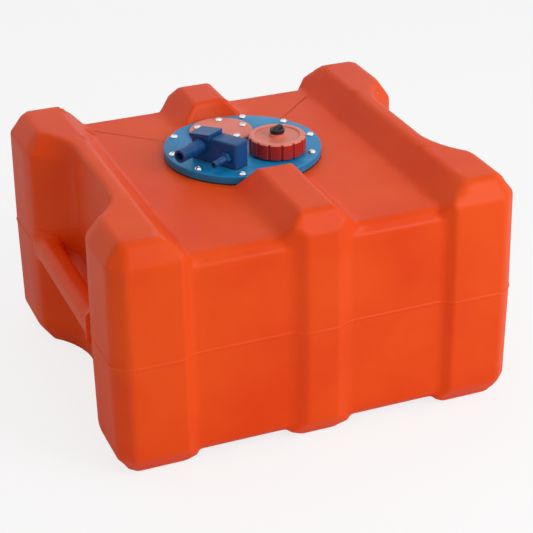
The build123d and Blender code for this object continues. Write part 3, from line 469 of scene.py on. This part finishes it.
class Finish:
    """A procedural material on Object coordinates, written as expressions on Wires."""

    def __init__(self, name, owner=None):
        self.material = owner or bpy.data.materials.new(name)
        self.material.use_nodes = True
        self.tree = self.material.node_tree
        self.tree.nodes.clear()
        self.place = self.node("ShaderNodeTexCoord", output="Object")

    def node(self, kind, settings=(), values=(), output=0):
        """Add a node, set its settings first and then its sockets, and return one of its outputs."""
        made = self.tree.nodes.new(kind)
        for key, value in dict(settings).items():
            setattr(made, key, value)
        for key, value in dict(values).items():
            if isinstance(value, Wire):
                self.tree.links.new(value.socket, made.inputs[key])
            else:
                made.inputs[key].default_value = value
        return None if output is None else Wire(self, made.outputs[output])

    def noise(self, per_metre, detail=2.0, roughness=0.5):
        values = {"Vector": self.place, "Scale": per_metre, "Detail": detail, "Roughness": roughness}
        return self.node("ShaderNodeTexNoise", {}, values)

    def edges(self, level=0.51, gain=14.0):
        """1 on sharp convex edges, 0 on flats."""
        return self.node("ShaderNodeNewGeometry", output="Pointiness").above(level, gain)

    def mix(self, share, first, second):
        return self.node("ShaderNodeMix", {"data_type": "RGBA"}, {0: share, 6: first, 7: second}, 2)

    def bump(self, height, depth):
        values = {"Height": height, "Distance": depth * MM, "Strength": 1.0}
        return self.node("ShaderNodeBump", {}, values)

    def surface(self, colour, roughness, normal, constants=()):
        values = {"Base Color": colour, "Roughness": roughness, "Normal": normal, **dict(constants)}
        shader = self.node("ShaderNodeBsdfPrincipled", {}, values)
        self.node("ShaderNodeOutputMaterial", {}, {"Surface": shader}, None)
        return self.material


def paint(red, green, blue):
    """Linear colour from 0..255 display values."""
    share = np.array([red, green, blue]) / 255
    return (*(((share + 0.055) / 1.055) ** 2.4).tolist(), 1.0)


# Scales of the noises, per metre, and the share that each layer has in colour or roughness.
CLOUD_SCALE = 8
SCUFF_SCALE = 70
SCUFF_LEVEL = 0.58
SCUFF_GAIN = 6
CLOUD_GAIN = 3
# Share of the pale colour laid on convex edges: a painted highlight.
EDGE_SHEEN = 0.35
SCUFF_COLOUR = 0.05
CLOUD_SWELL = 0.4
CLOUD_ROUGHNESS = 0.08
SCUFF_ROUGHNESS = 0.07
METAL_CLOUD_SCALE = 120
BRUSH_SCALE = 2500
BRUSH_ROUGHNESS = 0.12
BRUSH_DEPTH = 0.01
CAP_CLOUD_SCALE = 30
CAP_GRAIN_SCALE = 900
CAP_GRAIN_DEPTH = 0.03
# Above this height the cap takes its pale top colour: a painted sheen.
CAP_SHEEN_LEVEL = 296.0
CAP_SHEEN_GAIN = 900
# Share of the pale top colour on the cap's convex edges: a painted highlight.
CAP_EDGE_SHEEN = 0.3
CAP_CLOUD_COLOUR = 0.12


def plastic(name, base, shade, pale, roughness, grain, depth=0.04, specular=0.35):
    """Moulded plastic: its colour clouds from shade to base, its edges go pale as a painted highlight,
    and grain and scuffs roughen it."""
    finish = Finish(name)
    cloud = finish.noise(CLOUD_SCALE, 4)
    scuff = finish.noise(SCUFF_SCALE, 6, 0.7).above(SCUFF_LEVEL, SCUFF_GAIN)
    grains = finish.noise(grain, 3)
    colour = finish.mix(cloud.above(0.3, CLOUD_GAIN), shade, base)
    # Painted highlight: convex edges are mixed towards the pale colour.
    colour = finish.mix(EDGE_SHEEN * finish.edges(), colour, pale)
    colour = finish.mix(SCUFF_COLOUR * scuff, colour, pale)
    normal = finish.bump(grains + CLOUD_SWELL * cloud, depth)
    rough = roughness + CLOUD_ROUGHNESS * cloud + SCUFF_ROUGHNESS * scuff
    return finish.surface(colour, rough, normal, {"Specular IOR Level": specular})


def metal(name, base, shade, roughness):
    """Turned metal: faint clouding with fine brushed grain."""
    finish = Finish(name)
    cloud = finish.noise(METAL_CLOUD_SCALE, 3)
    brush = finish.noise(BRUSH_SCALE, 2)
    colour = finish.mix(cloud.above(0.35, CLOUD_GAIN), shade, base)
    rough = roughness + BRUSH_ROUGHNESS * brush
    return finish.surface(colour, rough, finish.bump(brush, BRUSH_DEPTH), {"Metallic": 1.0})


def cap_plastic(name, top, side, roughness):
    """Cap plastic: from a level up the face is painted paler than the skirt, a painted sheen from above.
    """
    finish = Finish(name)
    height = finish.node("ShaderNodeSeparateXYZ", {}, {0: finish.place}, 2)
    cloud = finish.noise(CAP_CLOUD_SCALE, 4)
    grains = finish.noise(CAP_GRAIN_SCALE, 3)
    # Painted sheen: the face above the level is mixed to the pale top colour.
    colour = finish.mix(height.above(CAP_SHEEN_LEVEL * MM, CAP_SHEEN_GAIN), side, top)
    # Painted highlight: convex edges are mixed towards the pale top colour.
    colour = finish.mix(CAP_EDGE_SHEEN * finish.edges(), colour, top)
    colour = finish.mix(CAP_CLOUD_COLOUR * cloud, colour, side)
    rough = roughness + CLOUD_ROUGHNESS * cloud
    return finish.surface(colour, rough, finish.bump(grains, CAP_GRAIN_DEPTH))


FINISHES = {
    "shell_plastic": plastic(
        "moulded_orange_polyethylene",
        paint(240, 80, 14), paint(232, 66, 6), paint(242, 100, 44), 0.36, 420, specular=0.16),
    "flange_plastic": plastic(
        "blue_flange_plastic",
        paint(4, 132, 192), paint(2, 116, 172), paint(60, 170, 216), 0.38, 900),
    "fitting_plastic": plastic(
        "dark_blue_fitting_plastic",
        paint(8, 74, 134), paint(5, 58, 110), paint(50, 110, 165), 0.4, 900),
    # The cover's red plastic is lightened to salmon in all three colours: a painted sheen from above.
    "cover_plastic": plastic(
        "red_cover_plastic",
        paint(240, 132, 114), paint(230, 116, 98), paint(248, 170, 154), 0.4, 900),
    "stainless": metal("stainless_steel", (0.86, 0.86, 0.86, 1), (0.66, 0.66, 0.67, 1), 0.18),
    "brass": metal("turned_brass", (0.78, 0.58, 0.26, 1), (0.6, 0.43, 0.18, 1), 0.26),
    "seal_rubber": plastic(
        "black_seal_rubber",
        paint(34, 34, 36), paint(24, 24, 26), paint(60, 60, 62), 0.66, 1400, 0.06),
    "washer_rubber": plastic(
        "red_washer_rubber",
        paint(190, 44, 36), paint(165, 32, 26), paint(214, 80, 70), 0.6, 1400, 0.06),
    "inner_plastic": plastic(
        "natural_polyethylene",
        paint(226, 224, 214), paint(212, 210, 200), paint(238, 237, 230), 0.45, 700),
}
# The first colour is the cap's red lightened by a painted sheen, for the top; the second is the skirt's
# red.
CAP_FINISH = cap_plastic("red_cap_plastic", paint(234, 132, 110), paint(176, 34, 28), 0.36)
KNOB_FINISH = plastic(
    "black_knob_plastic", paint(20, 20, 34), paint(12, 16, 26), paint(44, 70, 84), 0.34, 1200)


# ---- filler cap and vent screw ----
CAP_RADIUS = 35.0
CAP_GRIPS = 14
CAP_GRIP_HALF = 2.1
CAP_GRIP_DEPTH = 2.2
CAP_SIDES = CAP_GRIPS * 36
CAP_PROFILE = [
    (3.08, 300.4), (10, 300.4), (10, 296.9), (28, 296.9), (28, 298.4), (33.4, 298.4), (35, 296.8),
    (35, 278.5), (29.2, 278.5), (29.2, 293.4), (3.08, 293.4)]
KNOB_PROFILE = [
    (1, 305.6), (9, 305.6), (9, 301.6), (3, 301.6), (3, 290.4), (5, 290.4), (5, 288.9), (1, 288.9)]
KNOB_SIDES = 96
TAB_BASE = 303.0
TAB_TOP = 310.0
TAB_HALF_LENGTH = 8.0
TAB_HALF_WIDTH = 4.0
TAB_SHIFT = 3.0
TAB_ANGLE = radians(32)
TAB_SIDES = 64
TAB_ROWS = 24
TAB_OVAL = 0.6
TAB_CROWN = 1.6

# ---- hose tails, radius and distance ahead of the housing ----
VENT_PROFILE = [
    (5, -5.5), (7.4, -5.5), (7.4, 0), (9.5, 0), (9.5, 3), (8.9, 3), (8, 9.33),
    (8.9, 9.33), (8, 15.67), (8.9, 15.67), (8, 22), (8, 40), (5, 40)]
FUEL_PROFILE = [
    (2.25, -7), (4.9, -7), (4.9, 0), (6.5, 0), (6.5, 6), (4.9, 6), (4, 9.33),
    (4.9, 9.33), (4, 12.67), (4.9, 12.67), (4, 16), (4, 26), (2.25, 26)]
VENT_LAND_MIDDLE = 31.0
FUEL_LAND_MIDDLE = 21.0
HEX_FLAT = 6.5
HEX_CORNER = 7.3
HEX_FROM = 5.5
TAIL_CUT = 0.25
TAIL_SIDES = 96

# ---- screws ----
SCREW_HEAD = [(0.4, 1.6), (1.7, 1.6), (1.7, 3.2), (3.1, 2.9), (4.75, 1.3), (4.75, 0), (2.5, 0)]
SCREW_SIDES = 40
FLANGE_SCREW_RADIUS = 89.5
FLANGE_SCREW_ANGLES = [-3 + 36 * place for place in range(10) if place != 3]
FLANGE_SCREW_SEAT = 276.0
FLANGE_SCREW_LENGTH = 20.0
SENDER_OFFSET = (-10.80, 46.77)
SENDER_SCREW_RADIUS = 30.0
SENDER_SCREW_ANGLES = [147 - 72 * place for place in range(5)]
SENDER_SCREW_SEAT = 280.5
SENDER_SCREW_LENGTH = 10.5

# ---- CAD nodes shown with rounded edges, and the width of each rounding ----
ROUNDED_NODES = [
    ("flange_plate", "flange_plastic", 0.4),
    ("filler_neck", "flange_plastic", 0.4),
    ("sender_cover", "cover_plastic", 0.6),
    ("fitting_housing", "fitting_plastic", 0.5),
    ("housing_lid", "fitting_plastic", 0.4),
]
WELD_GAP = 0.001


def grip_grooves(radius, height, angle):
    """Share of the radius left by the grip grooves: each is a sine arch across its width."""
    pitch = 2 * pi / CAP_GRIPS
    away = np.abs((angle + pitch / 2) % pitch - pitch / 2) * CAP_RADIUS
    cut = CAP_GRIP_DEPTH * np.sin(pi / 2 * np.clip(1 - away / CAP_GRIP_HALF, 0, 1))
    return 1 - np.where(radius > CAP_RADIUS - 1.2, cut / CAP_RADIUS, 0)


def hexagon(radius, height, angle):
    """Flats where the profile is at the hexagon: radius over the cosine from a flat's middle."""
    away = (angle + pi / 6) % (pi / 3) - pi / 6
    flats = np.minimum(1 / np.cos(away), HEX_CORNER / HEX_FLAT)
    return np.where(radius > HEX_FROM, flats, 1)


def turned(profile, sides, centre, cut=0.3, closed=True, swell=None):
    """Solid of a softened profile turned about an upright axis at centre."""
    grid = revolve(soften(profile, cut, closed), sides, swell)
    return close_grid(grid + np.array([centre[0], centre[1], 0.0]), wrap=closed)


def tab_solid(centre):
    """Finger tab: an oval that shrinks by a quarter ellipse towards its top and leans outwards."""
    angle = np.linspace(0, 2 * pi, TAB_SIDES, endpoint=False)
    share = np.linspace(0, 1, TAB_ROWS)[:, None]
    crown = np.maximum(share * TAB_CROWN - (TAB_CROWN - 1), 0)
    shrink = np.sqrt(np.clip(1 - crown ** 2, 0.002, 1))
    cosine = np.cos(angle)
    sine = np.sin(angle)
    along = TAB_HALF_LENGTH * np.sign(cosine) * np.abs(cosine) ** TAB_OVAL * shrink
    across = TAB_HALF_WIDTH * np.sign(sine) * np.abs(sine) ** TAB_OVAL * shrink
    along = along + TAB_SHIFT * share
    x = centre[0] + along * cos(TAB_ANGLE) - across * sin(TAB_ANGLE)
    y = centre[1] + along * sin(TAB_ANGLE) + across * cos(TAB_ANGLE)
    z = TAB_BASE + (TAB_TOP - TAB_BASE) * share + 0 * along
    return close_grid(np.stack([x, y, z], axis=-1))


def tail_solid(mount_name, profile, land_middle, swell=None):
    """Hose tail: its profile turned about the axis of its mount."""
    mount = next(row for row in frame["record"]["mounts"] if row["name"] == mount_name)
    axis = np.array(mount["axis"])
    front = np.array(mount["pos_m"]) / MM - land_middle * axis
    grid = revolve(soften(profile, TAIL_CUT, True), TAIL_SIDES, swell)
    return close_grid(lay(grid, front, axis), wrap=True)


def screw_ring(centre, radius, angles, seat, length):
    """Screws on a circle, each a head and shank turned about its own axis."""
    profile = [(r, seat + rise) for r, rise in SCREW_HEAD]
    profile += [(SCREW_HEAD[-1][0], seat - length), (SCREW_HEAD[0][0], seat - length)]
    turns = np.radians(angles)
    places = np.stack([centre[0] + radius * np.cos(turns), centre[1] + radius * np.sin(turns)], axis=-1)
    return [turned(profile, SCREW_SIDES, place, closed=False) for place in places]


def rounded_copy(node, slot, width):
    """A node's merged copy, its edges rounded by a bevel."""
    work = bmesh.new()
    work.from_mesh(frame["nodes"][node].data)
    bmesh.ops.remove_doubles(work, verts=work.verts, dist=WELD_GAP * MM)
    mesh = bpy.data.meshes.new(node + "_rounded")
    work.to_mesh(mesh)
    work.free()
    piece = dress(node + "_rounded", mesh, "root", FINISHES[slot], (node,), 35)
    bevel = piece.modifiers.new("edge_rounding", "BEVEL")
    bevel.width = width * MM
    bevel.segments = 2
    bevel.limit_method = "ANGLE"
    bevel.angle_limit = radians(40)


def dress_nodes():
    """Give every CAD node the finish of its slot."""
    for row in frame["record"]["subparts"]:
        for place in frame["nodes"][row["node"]].material_slots:
            place.material = FINISHES[row["material_slot"]]


def fixed_piece(name, solids, slot, node):
    """A piece that stands for one node of the root body and has its slot's finish."""
    make_piece(name, solids, "root", FINISHES[slot], (node,))


def build_pieces():
    """Make every new piece."""
    shell = [shell_solid(), bar_solid(1), bar_solid(-1)]
    fixed_piece("tank_skin", shell, "shell_plastic", "tank_shell")
    cap_at = middle("filler_cap")
    cap = [turned(CAP_PROFILE, CAP_SIDES, cap_at, 0.45, swell=grip_grooves)]
    make_piece("grooved_cap", cap, "cap", CAP_FINISH, ("filler_cap",), 50)
    knob = [turned(KNOB_PROFILE, KNOB_SIDES, cap_at, 0.5, False), tab_solid(cap_at)]
    make_piece(
        "vent_screw_knob", knob, "vent_screw", KNOB_FINISH, ("vent_knob",), 50)
    vent = [tail_solid("vent_hose_tail", VENT_PROFILE, VENT_LAND_MIDDLE)]
    fixed_piece("vent_barb", vent, "fitting_plastic", "vent_hose_tail")
    fuel = [tail_solid("fuel_hose_tail", FUEL_PROFILE, FUEL_LAND_MIDDLE, hexagon)]
    fixed_piece("fuel_barb", fuel, "fitting_plastic", "fuel_hose_tail")
    centre = (FLANGE_X, FLANGE_Y)
    screws = screw_ring(
        centre, FLANGE_SCREW_RADIUS, FLANGE_SCREW_ANGLES, FLANGE_SCREW_SEAT, FLANGE_SCREW_LENGTH)
    fixed_piece("flange_screw_set", screws, "stainless", "flange_screws")
    centre = (FLANGE_X + SENDER_OFFSET[0], FLANGE_Y + SENDER_OFFSET[1])
    screws = screw_ring(
        centre, SENDER_SCREW_RADIUS, SENDER_SCREW_ANGLES, SENDER_SCREW_SEAT, SENDER_SCREW_LENGTH)
    fixed_piece("sender_screw_set", screws, "stainless", "sender_screws")
    for row in ROUNDED_NODES:
        rounded_copy(*row)


# ---- camera, floor and light ----
CAMERA_AT = (-0.66929, -1.74849, 1.08794)
CAMERA_PITCH = 0.476297
CAMERA_YAW = 0.374978
CAMERA_ROLL = -0.014358
CAMERA_LENS = 112.72
WORLD_LEVEL = 0.45
FLOOR_HALF_SIZE = 6
FLOOR_GLOW = 0.8


def add_camera():
    """Camera turned by yaw and pitch from +Y, then rolled about its view."""
    ahead = np.array([
        sin(CAMERA_YAW) * cos(CAMERA_PITCH), cos(CAMERA_YAW) * cos(CAMERA_PITCH), -sin(CAMERA_PITCH)])
    right = np.array([cos(CAMERA_YAW), -sin(CAMERA_YAW), 0.0])
    above = np.cross(right, ahead)
    turned_right = cos(CAMERA_ROLL) * right + sin(CAMERA_ROLL) * above
    turned_up = cos(CAMERA_ROLL) * above - sin(CAMERA_ROLL) * right
    lens = bpy.data.cameras.new("camera")
    lens.lens = CAMERA_LENS
    lens.sensor_width = 36.0
    camera = bpy.data.objects.new("camera", lens)
    turn = np.stack([turned_right, turned_up, -ahead], axis=1)
    camera.matrix_world = Matrix.Translation(CAMERA_AT) @ Matrix(turn.tolist()).to_4x4()
    bpy.context.scene.collection.objects.link(camera)
    bpy.context.scene.camera = camera


def add_lamp(name, place, target, size, power):
    """Square area lamp that faces a target."""
    data = bpy.data.lights.new(name, "AREA")
    data.size = size
    data.energy = power
    lamp = bpy.data.objects.new(name, data)
    lamp.location = place
    back = Vector(place) - Vector(target)
    lamp.rotation_euler = back.to_track_quat("Z", "Y").to_euler()
    bpy.context.scene.collection.objects.link(lamp)


def add_world():
    """Even light, seen as white by the camera and in reflections."""
    world = bpy.data.worlds.new("studio")
    bpy.context.scene.world = world
    finish = Finish("studio", world)
    rays = [finish.node("ShaderNodeLightPath", output=name)
            for name in ("Is Camera Ray", "Is Glossy Ray", "Is Transmission Ray")]
    seen = (rays[0] + rays[1] + rays[2]).above(0, 1)
    values = {"Color": (1, 1, 1, 1), "Strength": WORLD_LEVEL + (1 - WORLD_LEVEL) * seen}
    light = finish.node("ShaderNodeBackground", {}, values)
    finish.node("ShaderNodeOutputWorld", {}, {"Surface": light}, None)


def add_floor():
    """Pale floor that glows white to the camera and keeps a soft shadow."""
    mesh = bpy.data.meshes.new("floor")
    edge = FLOOR_HALF_SIZE
    rim = [(-edge, -edge, 0), (edge, -edge, 0), (edge, edge, 0), (-edge, edge, 0)]
    mesh.from_pydata(rim, [], [(0, 1, 2, 3)])
    floor = bpy.data.objects.new("floor", mesh)
    bpy.context.scene.collection.objects.link(floor)
    finish = Finish("floor")
    grain = finish.noise(6, 2)
    colour = finish.mix(grain, (0.9, 0.9, 0.9, 1), (0.93, 0.93, 0.93, 1))
    matt = finish.node("ShaderNodeBsdfDiffuse", {}, {"Color": colour})
    glow = finish.node("ShaderNodeEmission", {}, {"Color": (1, 1, 1, 1), "Strength": 1.0})
    seen = FLOOR_GLOW * finish.node("ShaderNodeLightPath", output="Is Camera Ray")
    shade = finish.node("ShaderNodeMixShader", {}, {0: seen, 1: matt, 2: glow})
    finish.node("ShaderNodeOutputMaterial", {}, {"Surface": shade}, None)
    mesh.materials.append(finish.material)


dress_nodes()
build_pieces()
add_camera()
add_world()
add_floor()
add_lamp("key", (1.3, -1.9, 1.5), (0, 0, 0.15), 1.4, 33)
add_lamp("top", (0.1, 0.3, 2.2), (0, 0, 0.2), 1.6, 5)
bpy.context.scene.view_settings.view_transform = "Standard"
